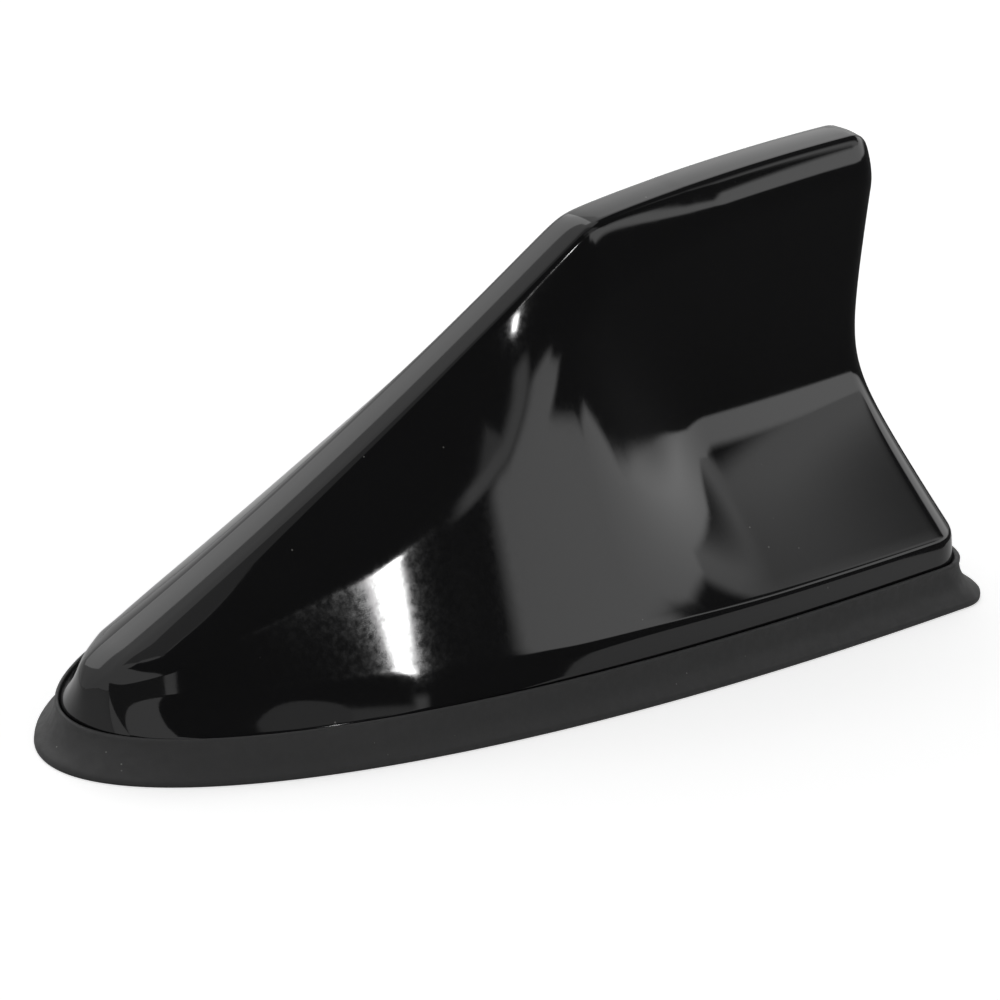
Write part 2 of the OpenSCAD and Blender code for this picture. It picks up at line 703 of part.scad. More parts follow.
// Wire of the loading coil, swept along a helix
module loading_coil() {
    n = coil_turns * coil_steps;
    r = coil_wire / 2;
    sides = 6;
    rise = function (i) coil_foot + coil_pitch / 2 + coil_pitch * i / coil_steps;
    color(copper) translate([coil_x, 0, board_z1]) polyhedron(
        [for (i = [0:n], k = [0:sides - 1])
            let(a = 360 * i / coil_steps, b = 360 * k / sides, q = coil_d / 2 + r * cos(b))
            [q * cos(a), q * sin(a), rise(i) + r * sin(b)]],
        concat([[for (k = [sides - 1:-1:0]) k], [for (k = [0:sides - 1]) n * sides + k]],
               [for (i = [0:n - 1], k = [0:sides - 1])
                   let(k2 = (k + 1) % sides)
                   each quad(i * sides + k, (i + 1) * sides + k, (i + 1) * sides + k2,
                             i * sides + k2, false)]), convexity = 10);
}

// Top of the radiator board at x, and its two feet
function rad_top(x) = inner_top(x) - rad_gap;
feet_x = [can_x - foot_tab_w - 1, can_x + can_len + 1];

module radiator_board() {
    steps = 16;
    color("#c8b27a") rotate([90, 0, 0]) linear_extrude(rad_t, center = true) polygon(concat(
        [[rad_x0, rad_z0]],
        [for (k = [0:steps]) let(x = rad_x0 + (rad_x1 - rad_x0) * k / steps) [x, rad_top(x)]],
        [[rad_x1, rad_z0]],
        [for (f = [1, 0]) each [[feet_x[f] + foot_tab_w, rad_z0], [feet_x[f] + foot_tab_w, board_z1],
                                [feet_x[f], board_z1], [feet_x[f], rad_z0]]]));
}

// Copper run that winds up and down the radiator board
module radiator_trace() {
    m = trace_edge;
    pitch = (rad_x1 - rad_x0 - 2 * m - trace_w) / (trace_runs - 1);
    x_at = function (k) rad_x0 + m + k * pitch;
    top_at = function (k) min(rad_top(x_at(k)), rad_top(x_at(k) + trace_w)) - m;
    low = rad_z0 + m;
    color(copper) translate([0, -rad_t / 2 - trace_t, 0]) {
        for (k = [0:trace_runs - 1])
            translate([x_at(k), 0, low]) cube([trace_w, trace_t, top_at(k) - low]);
        for (k = [0:trace_runs - 2])
            translate([x_at(k), 0, k % 2 == 0 ? min(top_at(k), top_at(k + 1)) - trace_w : low])
                cube([pitch + trace_w, trace_t, trace_w]);
    }
}

// Spring clips that hold the feet of the radiator board on the amplifier board
module foot_clips() {
    color(steel) for (x = feet_x, s = [-1, 1])
        translate([x + foot_tab_w / 2, 0, board_z1]) mirror([0, s < 0 ? 1 : 0, 0]) {
            translate([-clip_w / 2, rad_t / 2, 0]) cube([clip_w, clip_t, clip_h]);
            translate([-clip_w / 2, rad_t / 2, 0]) cube([clip_w, 2.4, clip_t]);
        }
}

// Foam saddle that keeps the radiator board off the inside of the fin
module foam_block() {
    x0 = rad_x1 - foam_len - foam_in;
    z1 = min(inner_top(x0), inner_top(x0 + foam_len)) - fit;
    slot_top = max(rad_top(x0), rad_top(x0 + foam_len), rad_top(x0 + foam_len / 2));
    color("#4b4c50") translate([x0, 0, z1 - foam_h]) difference() {
        translate([0, -foam_w / 2, 0]) cube([foam_len, foam_w, foam_h]);
        translate([-1, -rad_t / 2 - trace_t, -1])
            cube([foam_len + 2, rad_t + trace_t, 1 + slot_top - z1 + foam_h]);
    }
}

fin_shell();
gasket();
base_plate();
adhesive_pad();
case_screws();
cable_grommet();
amplifier_board();
board_screws();
coax_socket();
shield_can();
amplifier_chip();
filter_inductors();
electrolytic_capacitors();
ceramic_capacitors();
resistors();
coil_former();
loading_coil();
radiator_board();
radiator_trace();
foot_clips();
foam_block();
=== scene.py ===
"""Looks of the shark fin roof aerial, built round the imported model. Lengths in metres."""
import math

import bpy
import numpy as np
from mathutils import Matrix, Vector


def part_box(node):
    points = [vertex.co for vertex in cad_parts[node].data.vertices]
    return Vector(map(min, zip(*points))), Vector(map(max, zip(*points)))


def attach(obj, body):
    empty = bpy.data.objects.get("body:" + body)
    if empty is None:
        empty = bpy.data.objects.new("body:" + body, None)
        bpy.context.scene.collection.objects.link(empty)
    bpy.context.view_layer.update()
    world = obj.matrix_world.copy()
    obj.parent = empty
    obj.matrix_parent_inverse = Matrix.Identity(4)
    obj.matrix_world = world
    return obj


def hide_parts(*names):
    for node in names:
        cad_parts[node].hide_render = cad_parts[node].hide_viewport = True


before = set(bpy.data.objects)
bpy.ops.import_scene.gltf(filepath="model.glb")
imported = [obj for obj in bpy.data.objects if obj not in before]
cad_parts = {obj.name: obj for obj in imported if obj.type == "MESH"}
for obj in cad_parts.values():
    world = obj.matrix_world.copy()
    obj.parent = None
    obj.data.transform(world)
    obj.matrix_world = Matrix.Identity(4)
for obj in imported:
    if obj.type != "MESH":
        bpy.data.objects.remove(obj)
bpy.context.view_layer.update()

MM = 0.001

# Driving values of the form, in millimetres. The skirt's length and width come from the imported gasket.
skirt_low, skirt_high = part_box("gasket")
FOOT_LEN = (skirt_high.x - skirt_low.x) / MM
FOOT_W = (skirt_high.y - skirt_low.y) / MM
SKIRT_W = 3.5
PLAN_POWER = 2.4
CORNER_R = 8.0
SKIRT_CORNER_R = 7.5
FIN_H = 65.8
KINK_X = 13.0
TOP_R = 588.0
CREST_X = 68.0
LEAD_SLOPE = math.radians(32.3)
LEAD_R = 458.0
KINK_ROUND = 0.6
KINK_ROUND_REACH = 20.0
NOSE_R = 6.0
NOSE_DROP = 2.5
NOSE_PART = 0.75
NECK_IN = 1.5
NECK_Z = 46.0
TIP_R = 6.0
BAND_W = 5.6
BAND_EDGE_R = 0.8
BLADE_W = 12.0
SHOULDER_D = 7.2
SHOULDER_FAN = 0.2
FAN_FROM = 40.0
SHOULDER_SHARE = 0.45
FLARE_Z = 28.6
FLARE_SOFT = 5.2
NOSE_FLARE_SOFT = 12.0
# Ahead of the tail the flare turns up more gently than in part.scad.
MIDDLE_FLARE_SOFT = 10.0
MIDDLE_FROM = 96.0
MIDDLE_TO = 30.0
FLARE_CLIMB = 20.0
CLIMB_FROM = 36.0
CLIMB_TO = 4.0
TRAIL_R = 5.6
SEAM_Z = 6.0
CREASE_Z = 10.2
NOSE_CREASE_Z = 9.8
WALL_LEAN = 0.8
NOSE_LEAN = 3.8
CREASE_R = 0.7
NOSE_CREASE_R = 2.4
WALL = 2.0
RIM_Z = 4.6
LIP_H = 1.1
COLLAR_T = 0.6
FIT = 0.15
WEB_IN = 5.4
FLOOR_TOP = 3.0
BASE_IN = 1.6
BAND_CROWN = 0.12

# Near the nose, where the fin is narrow and low, these sizes are at most a share of its own
BAND_SHARE = 0.45
BLADE_SHARE = 0.5
LEAN_SHARE = 0.27
CREASE_SHARE = 0.5
CREASE_R_SHARE = 0.6
EDGE_SHARE = 0.4
LEAST_EDGE_R = 0.15
LEAST_SIZE = 0.01

FIN_X0 = -FOOT_LEN / 2 + SKIRT_W
FIN_X1 = FOOT_LEN / 2 - SKIRT_W
FIN_HALF = FOOT_W / 2 - SKIRT_W

# Steps of the shell's grid: down the flank, round a bend, along the fin and round the rear
FLANK_STEPS = 56
BEND_STEPS = 7
BAND_STEPS = 3
WALL_STEPS = 4
ROW_STEPS = (36, 60, 30, 44)
TURN_STEPS = 12
INNER_FLANK_STEPS = 14
SLOPE_STEPS = 12

# Camera: where it stands round the object, its roll, distance and the frame's centre
CAMERA_AZ = math.radians(-51.212)
CAMERA_EL = math.radians(22.142)
CAMERA_ROLL = math.radians(7.887)
CAMERA_DISTANCE = 1.007914
CAMERA_TARGET = Vector((0, 0, 0.025))
PIXELS_PER_M = 6886.0
FRAME_PX = 1000.0
TARGET_PX = (482.179, 478.596)
SENSOR_MM = 36.0

# Studio: the floor's half size and place, and how bright floor, world and dark flags are
FLOOR_HALF = 3.6
FLOOR_Z = -0.00002
FLOOR_LIFT = 0.52
WORLD_LIGHT = 0.45
FLAG_LEVEL = 0.06
LIGHTS_AIM = (0, 0, 0.02)
CARDS_AIM = (0, 0, 0.03)
STREAK_AT = (-0.042, -0.019, 0.022)
TABLE_FLAG_Z = 0.001
TABLE_FLAG = [(0.125, 0.35), (3.3, 0.35), (3.3, -3.3), (-1.2, -3.3), (-0.10, -0.12), (0.115, -0.095)]

# Glowing wall: first and last direction of its grid and the step, in degrees, and its distance
WALL_AZ = (70.0, 158.0, 1.0)
WALL_EL = (1.0, 58.0, 0.75)
WALL_DISTANCE = 2.5

# Softbox on the wall: its sides, then its lower and upper edge as azimuth and elevation, each
# with the degrees over which it fades, and its brightness, which falls off towards its foot
SOFTBOX_SIDES = (76.0, 151.0, 4.0, 1.2)
SOFTBOX_LOW = [(70, 3.0), (88, 3.0), (93, 4.5), (99, 6.5), (104, 8.5), (111, 11.5), (117, 13.5),
               (129, 14.5), (135, 18.0), (146, 18.5), (149, 21.0), (158, 22.0)]
SOFTBOX_HIGH = [(70, 26.0), (99, 26.0), (104, 22.0), (112, 22.5), (117, 26.0), (128, 25.5),
                (132, 23.0), (137, 22.5), (142, 26.0), (158, 27.5)]
LOW_FADE = 1.5
HIGH_FADE = 3.0
SOFTBOX_LEVEL = 1.35
FOOT_SHARE = 0.15
FOOT_FROM = 3.0
FOOT_RISE = 10.0

# Fainter patches of the wall: share of the softbox's brightness, then the range and the two
# fades in azimuth and in elevation
SPILL = (0.66, (107.5, 119.0, 11.0, 5.0), (18.0, 39.5, 3.0, 14.0))
WEDGE = (0.6, (145.0, 156.0, 2.0, 2.0), (27.2, 30.5, 0.8, 2.0))
NOSE_PATCH = (0.35, (139.5, 153.5, 3.0, 1.5), (29.0, 54.0, 3.0, 4.0))


def soft_step(u):
    """Rise from 0 to 1, level at both ends."""
    c = np.clip(u, 0, 1)
    return c * c * (3 - 2 * c)


def soft_min(a, b, r):
    """The lesser of a and b, rounded where they cross."""
    return (a + b) / 2 - np.sqrt(((a - b) / 2) ** 2 + r * r)


def plan_half(x, off=0.0):
    """Half width of the teardrop outline at x, grown outwards by off."""
    u = np.clip((x - FIN_X0 + off) / (FIN_X1 - FIN_X0 + 2 * off), 0, 1)
    return (FIN_HALF + off) * np.sqrt(np.maximum(0, 1 - (1 - u) ** PLAN_POWER))


def top_line(x):
    """Arc of the top edge."""
    return FIN_H - (x - CREST_X) ** 2 / (2 * TOP_R)


def lead_line(x):
    """Leading edge, which gets a little flatter towards the nose."""
    ahead = x - KINK_X
    return top_line(KINK_X) + math.tan(LEAD_SLOPE) * ahead + ahead ** 2 / (2 * LEAD_R)


def spine_z(x):
    """Height of the spine, with the bull nose at its front end."""
    bull = np.maximum(0, 1 - (x - FIN_X0) / NOSE_R)
    fall = NOSE_DROP * (1 - np.sqrt(np.maximum(0, 1 - bull ** 2)))
    both = soft_min(lead_line(x), top_line(x), KINK_ROUND)
    return np.where(x < KINK_X + KINK_ROUND_REACH, both, top_line(x)) - fall


def nose_share(x):
    """How far the form has gone over from its middle, 0, to its nose, 1, ahead of the kink."""
    return soft_step((KINK_X - x) / (NOSE_PART * (KINK_X - FIN_X0)))


def crease_at(x):
    """Height of the crease above the plinth."""
    rise = CREASE_Z + (NOSE_CREASE_Z - CREASE_Z) * nose_share(x)
    return np.minimum(rise, SEAM_Z + CREASE_SHARE * (spine_z(x) - SEAM_Z))


def crease_r_at(x):
    """Size of the crease's rounding."""
    r = CREASE_R + (NOSE_CREASE_R - CREASE_R) * nose_share(x)
    return np.minimum(r, CREASE_R_SHARE * (crease_at(x) - SEAM_Z))


def plinth_half(x):
    """Half width at the crease. The plinth's wall leans in from the seam up to it."""
    w = plan_half(x)
    lean = WALL_LEAN + (NOSE_LEAN - WALL_LEAN) * nose_share(x) ** 2
    return w - np.minimum(lean, LEAN_SHARE * w)


def band_half(x):
    """Half width of the flat band along the leading and top edges."""
    return np.minimum(BAND_W / 2, BAND_SHARE * plan_half(x))


def blade_half(x):
    """Half width of the blade under the shoulder."""
    return np.minimum(BLADE_W / 2, BLADE_SHARE * plan_half(x))


def shoulder_at(x):
    """Depth of the shoulder under the spine, which fans out towards the nose."""
    d = SHOULDER_D + SHOULDER_FAN * np.maximum(0, FAN_FROM - x)
    return np.minimum(d, SHOULDER_SHARE * (spine_z(x) - crease_at(x)))


def flare(x, z):
    """Rise of the flare, which turns from a hollow at the rear into a straight flank at the nose."""
    soft = FLARE_SOFT + (NOSE_FLARE_SOFT - FLARE_SOFT) * nose_share(x)
    middle = soft_step((MIDDLE_FROM - x) / (MIDDLE_FROM - MIDDLE_TO))
    soft = np.maximum(soft, FLARE_SOFT + (MIDDLE_FLARE_SOFT - FLARE_SOFT) * middle)
    start = FLARE_Z + FLARE_CLIMB * soft_step((CLIMB_FROM - x) / (CLIMB_FROM - CLIMB_TO))
    return (start - z) + np.sqrt((start - z) ** 2 + soft ** 2)


def flank(x, z):
    """Half width of the flank at x and height z."""
    spine, blade = spine_z(x), blade_half(x)
    depth = np.maximum(LEAST_SIZE, shoulder_at(x))
    into_shoulder = np.maximum(0, (z - spine + depth) / depth)
    foot, tip = flare(x, crease_at(x)), flare(x, spine)
    share = (plinth_half(x) - blade) * (flare(x, z) - tip) / np.maximum(LEAST_SIZE, foot - tip)
    return blade - (blade - band_half(x)) * into_shoulder ** 2 + share


def bend(a, b, c, t):
    """Curve from a to c that leaves and arrives towards b."""
    return (1 - t) ** 2 * a + 2 * t * (1 - t) * b + t * t * c


def outer_half(x, k):
    """Column k of the outside half section at the places x, as arrays of y and z."""
    spine, crease, plinth, band = spine_z(x), crease_at(x), plinth_half(x), band_half(x)
    edge_r = np.maximum(LEAST_EDGE_R, np.minimum(BAND_EDGE_R, EDGE_SHARE * band))
    crease_r = crease_r_at(x)
    low_z = crease + 0.7 * crease_r
    high_z = spine - edge_r
    if k < BAND_STEPS:
        t = k / BAND_STEPS
        return (band - edge_r) * t, spine + BAND_CROWN * (1 - t * t)
    k -= BAND_STEPS
    if k <= BEND_STEPS:
        t = k / BEND_STEPS
        return bend(band - edge_r, band, flank(x, high_z), t), bend(spine, spine, high_z, t)
    k -= BEND_STEPS
    if k < FLANK_STEPS:
        z = high_z + (low_z - high_z) * (k / FLANK_STEPS) ** 1.15
        return flank(x, z), z
    k -= FLANK_STEPS
    wall_y = plinth + (plan_half(x) - plinth) * crease_r / (crease - SEAM_Z)
    wall_z = crease - crease_r
    if k <= BEND_STEPS:
        t = k / BEND_STEPS
        return bend(flank(x, low_z), plinth, wall_y, t), bend(low_z, crease, wall_z, t)
    k -= BEND_STEPS
    if k <= WALL_STEPS:
        t = k / WALL_STEPS
        return wall_y + (plan_half(x) - wall_y) * t, wall_z + (SEAM_Z - wall_z) * t
    return plan_half(x), np.full_like(x, RIM_Z)


OUTER_COLUMNS = BAND_STEPS + BEND_STEPS + FLANK_STEPS + BEND_STEPS + WALL_STEPS + 2


def inner_top(x):
    """Height of the hollow under the spine."""
    slope = spine_z(x + 0.5) - spine_z(x - 0.5)
    return spine_z(x) - WALL * np.sqrt(1 + slope ** 2)


def inner_half(x, k):
    """Column k of the inside half section at the places x."""
    top = inner_top(x)
    widest = np.maximum(0, plan_half(x, -WALL))
    narrowest = np.minimum(1.4, 0.5 * widest)
    if k == 0:
        return np.zeros_like(x), top + 0.08
    k -= 1
    low_z = np.minimum(crease_at(x), top - 0.5)
    if k <= INNER_FLANK_STEPS:
        t = k / INNER_FLANK_STEPS
        z = top + (low_z - top) * t ** 1.2
        slope = (flank(x, z + 0.1) - flank(x, z - 0.1)) / 0.2
        y = flank(x, z) - WALL * np.sqrt(1 + slope ** 2)
        return np.minimum(widest, np.maximum(narrowest, y)), z - 0.3 * t * t
    k -= INNER_FLANK_STEPS
    return widest, (low_z + RIM_Z) / 2 if k == 1 else np.full_like(x, RIM_Z)


INNER_COLUMNS = 1 + INNER_FLANK_STEPS + 3


def rear_x(z):
    """Rear end of the fin at height z, furthest in at the neck."""
    below = np.maximum(0, NECK_Z - z) / (NECK_Z - SEAM_Z)
    above = np.maximum(0, z - NECK_Z) / (FIN_H - NECK_Z)
    return FIN_X1 - NECK_IN + NECK_IN * below ** 2 + 0.3 * NECK_IN * above ** 2


def turn_r(y):
    """Size of the turn round the trailing edge where the fin's half width is y."""
    out = max(0.0, y - BLADE_W / 2) / (FIN_HALF - BLADE_W / 2)
    return TRAIL_R + (CORNER_R - TRAIL_R) * out


def places(x0, x1, steps):
    """Places along the fin of the sections ahead of the rear turn, closest at nose and kink."""
    nose_n, lead_n, kink_n, top_n = steps
    nose_end, kink_from, kink_to = FIN_X0 + 20, KINK_X - 9, KINK_X + 8
    return np.concatenate([
        x0 + (nose_end - x0) * (np.arange(nose_n) / nose_n) ** 2,
        nose_end + (kink_from - nose_end) * np.arange(lead_n) / lead_n,
        kink_from + (kink_to - kink_from) * np.arange(kink_n) / kink_n,
        kink_to + (x1 - kink_to) * np.arange(top_n + 1) / top_n])


def skin(half, columns, inset, steps, turn_n):
    """Grid of a skin, [column, row, xyz], from spine to rim and from nose to rear."""
    grid = []
    end_x = np.array([FIN_X1 - 3.0])
    for k in range(columns):
        y_end, z_end = (float(v[0]) for v in half(end_x, k))
        flat = k == 0 or (y_end < BAND_W / 2 + 0.1 and z_end > FIN_H - 2 * BAND_EDGE_R)
        near_top = float(soft_step((z_end - FIN_H + 3 * TIP_R) / (2.6 * TIP_R)))
        drop = (TIP_R - inset) * near_top
        r = TIP_R if flat else turn_r(y_end) + (TIP_R - TRAIL_R) * near_top
        r = max(0.8, r - inset)
        rear = rear_x(z_end) - inset
        x = places(FIN_X0 + inset, rear - r, steps)
        y, z = half(x, k)
        a = np.radians(90 * np.arange(1, turn_n + 1) / turn_n)
        turned_x = rear - r * (1 - np.sin(a))
        turned_y = y[-1] - min(r, 0.8 * y[-1]) * (1 - np.cos(a))
        turned_z = z[-1] - drop * (1 - np.cos(a))
        grid.append(np.stack([np.r_[x, turned_x], np.r_[y, turned_y], np.r_[z, turned_z]], -1))
    return np.array(grid)


def clean_face(ids):
    """Corners of a face without the ones that come twice."""
    return [v for n, v in enumerate(ids) if v not in ids[:n]]


def skin_mesh(grid, first, inward):
    """Points and faces of both halves of a skin with its rear face, and its rim's points."""
    cols, rows = grid.shape[:2]
    points = []
    index = np.zeros((rows, 2 * cols - 1), int)
    for i in range(rows):
        for j in range(1 - cols, cols):
            if i == 0 and j < 0:
                continue
            x, y, z = grid[abs(j), i]
            index[i, j + cols - 1] = first + len(points)
            side = 0.0 if i == 0 or j == 0 else math.copysign(y, j)
            points.append((x * MM, side * MM, z * MM))
    index[0, :cols - 1] = index[0, cols:][::-1]
    faces = []
    for i in range(rows - 1):
        for c in range(2 * cols - 2):
            faces.append([index[i, c], index[i + 1, c], index[i + 1, c + 1], index[i, c + 1]])
    rear = index[rows - 1]
    mid = cols - 1
    for j in range(cols - 1):
        faces.append([rear[mid - j], rear[mid - j - 1], rear[mid + j + 1], rear[mid + j]])
    faces = [clean_face([int(v) for v in f]) for f in faces]
    if inward:
        faces = [f[::-1] for f in faces]
    return points, faces, list(index[:, 0]) + list(index[:, -1][::-1])


def new_mesh(name, points, faces, smooth=True):
    """New piece in the scene, without the faces that have shrunk to a line."""
    mesh = bpy.data.meshes.new(name)
    mesh.from_pydata(points, [], [f for f in faces if len(f) > 2])
    mesh.validate()
    mesh.update()
    if smooth:
        mesh.polygons.foreach_set("use_smooth", [True] * len(mesh.polygons))
    piece = bpy.data.objects.new(name, mesh)
    bpy.context.scene.collection.objects.link(piece)
    return piece


def build_shell():
    """Hollow fin. Both skins have the same rows, as the rim joins them row by row."""
    outer = skin(outer_half, OUTER_COLUMNS, 0.0, ROW_STEPS, TURN_STEPS)
    inner = skin(inner_half, INNER_COLUMNS, WALL, ROW_STEPS, TURN_STEPS)
    points, faces, rim_out = skin_mesh(outer, 0, False)
    more, inner_faces, rim_in = skin_mesh(inner, len(points), True)
    faces += inner_faces
    n = len(rim_out)
    for k in range(n):
        a, b = rim_out[k], rim_out[(k + 1) % n]
        c, d = rim_in[(k + 1) % n], rim_in[k]
        faces.append(clean_face([int(a), int(b), int(c), int(d)]))
    return new_mesh("shell", points + more, faces)


def corner_r_at(off):
    """Radius of the rear corners of an outline that is off outside the fin."""
    if off > 0:
        return CORNER_R + (SKIRT_CORNER_R - CORNER_R) * off / SKIRT_W
    return max(1.5, CORNER_R + off)


def half_outline(off, side_n, corner_n):
    """Outline of the half on the side of +Y, from the nose round the rear corner."""
    r = corner_r_at(off)
    x0 = FIN_X0 - off
    corner_x = FIN_X1 + off - r
    x = x0 + (corner_x - x0) * (np.arange(side_n + 1) / side_n) ** 2
    corner_y = float(plan_half(np.array([corner_x]), off)[0]) - r
    a = np.radians(90 * np.arange(1, corner_n + 1) / corner_n)
    return np.concatenate([np.stack([x, plan_half(x, off)], -1),
                           np.stack([corner_x + r * np.sin(a), corner_y + r * np.cos(a)], -1)])


def outline(off, side_n=110, corner_n=16):
    """Closed outline that is off outside the fin."""
    half = half_outline(off, side_n, corner_n)
    return np.concatenate([half, (half[1:] * (1, -1))[::-1]])


def gasket_section():
    """Section of the rubber skirt as distance outside the fin and height, once round."""
    edge, collar, top = SKIRT_W, COLLAR_T + FIT, SEAM_Z + 0.3
    lip = [(edge - 0.1, 0.0), (edge, 0.1), (edge, 0.55 * LIP_H), (edge - 0.05, 0.8 * LIP_H),
           (edge - 0.25, LIP_H), (edge - 0.55, 1.2 * LIP_H)]
    lip_end = np.array((edge - 0.75, 1.35 * LIP_H))
    hollow = np.array((1.1, 2.6))
    collar_foot = np.array((collar, SEAM_Z - 0.5))
    slope = [tuple(bend(lip_end, hollow, collar_foot, k / SLOPE_STEPS)) for k in range(SLOPE_STEPS + 1)]
    bead = [(collar + 0.06, SEAM_Z - 0.25), (collar + 0.05, top - 0.2), (collar - 0.08, top - 0.04),
            (collar - 0.25, top), (FIT + 0.1, top - 0.05), (FIT, top - 0.25)]
    web_low, inner = FLOOR_TOP + FIT / 3, -BASE_IN + FIT
    inside = [(FIT, RIM_Z), (-WEB_IN, RIM_Z), (-WEB_IN, web_low), (inner, web_low), (inner, 0.1),
              (inner + 0.1, 0.0)]
    return lip + slope + bead + inside


def build_gasket():
    """Skirt: its section carried round the fin's outline."""
    section = gasket_section()
    rings = [outline(off) for off, z in section]
    n, m = len(rings[0]), len(section)
    points = [(x * MM, y * MM, section[r][1] * MM) for r in range(m) for x, y in rings[r]]
    faces = []
    for r in range(m):
        for k in range(n):
            r2, k2 = (r + 1) % m, (k + 1) % n
            faces.append([r * n + k, r2 * n + k, r2 * n + k2, r * n + k2])
    return new_mesh("rubber_skirt", points, faces)


class Shader:
    """Short way to build a node material."""

    def __init__(self, name):
        self.material = bpy.data.materials.new(name)
        self.material.use_nodes = True
        self.tree = self.material.node_tree
        self.tree.nodes.clear()
        self.output = self.tree.nodes.new("ShaderNodeOutputMaterial")
        self.surface = self.tree.nodes.new("ShaderNodeBsdfPrincipled")
        self.link(self.surface.outputs[0], self.output.inputs["Surface"])
        self.place = self.tree.nodes.new("ShaderNodeTexCoord").outputs["Object"]

    def link(self, a, b):
        self.tree.links.new(a, b)

    def noise(self, scale, detail=3.0, rough=0.5, stretch=None):
        n = self.tree.nodes.new("ShaderNodeTexNoise")
        n.inputs["Scale"].default_value = scale
        n.inputs["Detail"].default_value = detail
        n.inputs["Roughness"].default_value = rough
        source = self.place
        if stretch is not None:
            m = self.tree.nodes.new("ShaderNodeMapping")
            m.inputs["Scale"].default_value = stretch
            self.link(source, m.inputs["Vector"])
            source = m.outputs[0]
        self.link(source, n.inputs["Vector"])
        return n.outputs["Fac"]

    def specks(self, scale, size):
        """Small round specks, 1 inside and 0 outside."""
        v = self.tree.nodes.new("ShaderNodeTexVoronoi")
        v.inputs["Scale"].default_value = scale
        self.link(self.place, v.inputs["Vector"])
        return self.remap(v.outputs["Distance"], size, size * 0.6, 0.0, 1.0)

    def remap(self, source, a, b, lo, hi):
        n = self.tree.nodes.new("ShaderNodeMapRange")
        n.inputs["From Min"].default_value = a
        n.inputs["From Max"].default_value = b
        n.inputs["To Min"].default_value = lo
        n.inputs["To Max"].default_value = hi
        self.link(source, n.inputs["Value"])
        return n.outputs[0]

    def times(self, a, b):
        n = self.tree.nodes.new("ShaderNodeMath")
        n.operation = "MULTIPLY"
        self.link(a, n.inputs[0])
        self.link(b, n.inputs[1])
        return n.outputs[0]

    def mix(self, factor, a, b):
        """Colour between a and b. Each is a colour or another node's output."""
        n = self.tree.nodes.new("ShaderNodeMix")
        n.data_type = "RGBA"
        self.link(factor, n.inputs["Factor"])
        for value, socket in ((a, n.inputs[6]), (b, n.inputs[7])):
            if isinstance(value, bpy.types.NodeSocket):
                self.link(value, socket)
            else:
                socket.default_value = (*value, 1.0)
        return n.outputs[2]

    def bump(self, height, strength, distance):
        n = self.tree.nodes.new("ShaderNodeBump")
        n.inputs["Strength"].default_value = strength
        n.inputs["Distance"].default_value = distance
        self.link(height, n.inputs["Height"])
        self.link(n.outputs[0], self.surface.inputs["Normal"])

    def colour(self, source):
        self.link(source, self.surface.inputs["Base Color"])

    def rough(self, source):
        self.link(source, self.surface.inputs["Roughness"])


def gloss_black():
    """Gloss moulding with faint unevenness and a little dust in places."""
    s = Shader("gloss_black_moulding")
    s.surface.inputs["IOR"].default_value = 1.5
    cloud = s.noise(60.0, 4.0)
    dust = s.times(s.specks(210.0, 0.035), s.remap(s.noise(38.0, 1.0), 0.56, 0.62, 0.0, 1.0))
    base = s.mix(cloud, (0.0042, 0.0042, 0.0045), (0.0062, 0.0062, 0.0068))
    s.colour(s.mix(dust, base, (0.16, 0.16, 0.15)))
    s.rough(s.remap(s.noise(900.0, 5.0, 0.7), 0.3, 0.75, 0.035, 0.085))
    s.bump(s.noise(420.0, 2.0), 0.06, 0.00002)
    return s.material


def skirt_rubber():
    """Matt rubber with bloom and dust."""
    s = Shader("matt_rubber")
    s.surface.inputs["IOR"].default_value = 1.5
    cloud = s.noise(45.0, 5.0, 0.6)
    bloom = s.noise(700.0, 4.0, 0.6)
    dust = s.times(s.specks(420.0, 0.06), s.remap(s.noise(90.0, 2.0), 0.52, 0.6, 0.0, 1.0))
    base = s.mix(cloud, (0.030, 0.030, 0.0305), (0.044, 0.044, 0.0445))
    base = s.mix(s.remap(bloom, 0.55, 0.8, 0.0, 0.3), base, (0.05, 0.05, 0.05))
    s.colour(s.mix(dust, base, (0.2, 0.2, 0.19)))
    s.rough(s.remap(bloom, 0.3, 0.7, 0.5, 0.68))
    s.bump(s.noise(2600.0, 3.0), 0.25, 0.00004)
    return s.material


def moulded(name, dark, pale, rough_lo, rough_hi, grain, depth):
    """Plastic, resin or ceramic with a grain as deep as depth, in metres."""
    s = Shader(name)
    cloud = s.noise(80.0, 4.0)
    s.colour(s.mix(cloud, dark, pale))
    s.rough(s.remap(s.noise(grain, 4.0), 0.3, 0.7, rough_lo, rough_hi))
    s.bump(s.noise(grain, 3.0), 0.3, depth)
    return s.material


def metal(name, dark, pale, rough_lo, rough_hi, stretch):
    """Metal with drawing marks that run across the axis with the greatest stretch."""
    s = Shader(name)
    s.surface.inputs["Metallic"].default_value = 1.0
    cloud = s.noise(160.0, 4.0)
    s.colour(s.mix(cloud, dark, pale))
    s.rough(s.remap(s.noise(500.0, 4.0, 0.6, stretch), 0.3, 0.7, rough_lo, rough_hi))
    s.bump(s.noise(900.0, 2.0, 0.5, stretch), 0.15, 0.00002)
    return s.material


def foam(name, dark, pale, cells_per_m):
    """Foam with dark cells in a pale web."""
    s = Shader(name)
    cells = s.specks(cells_per_m, 0.42)
    s.colour(s.mix(cells, pale, dark))
    s.rough(s.remap(s.noise(300.0, 3.0), 0.3, 0.7, 0.75, 0.95))
    s.bump(cells, 0.5, 0.00012)
    return s.material


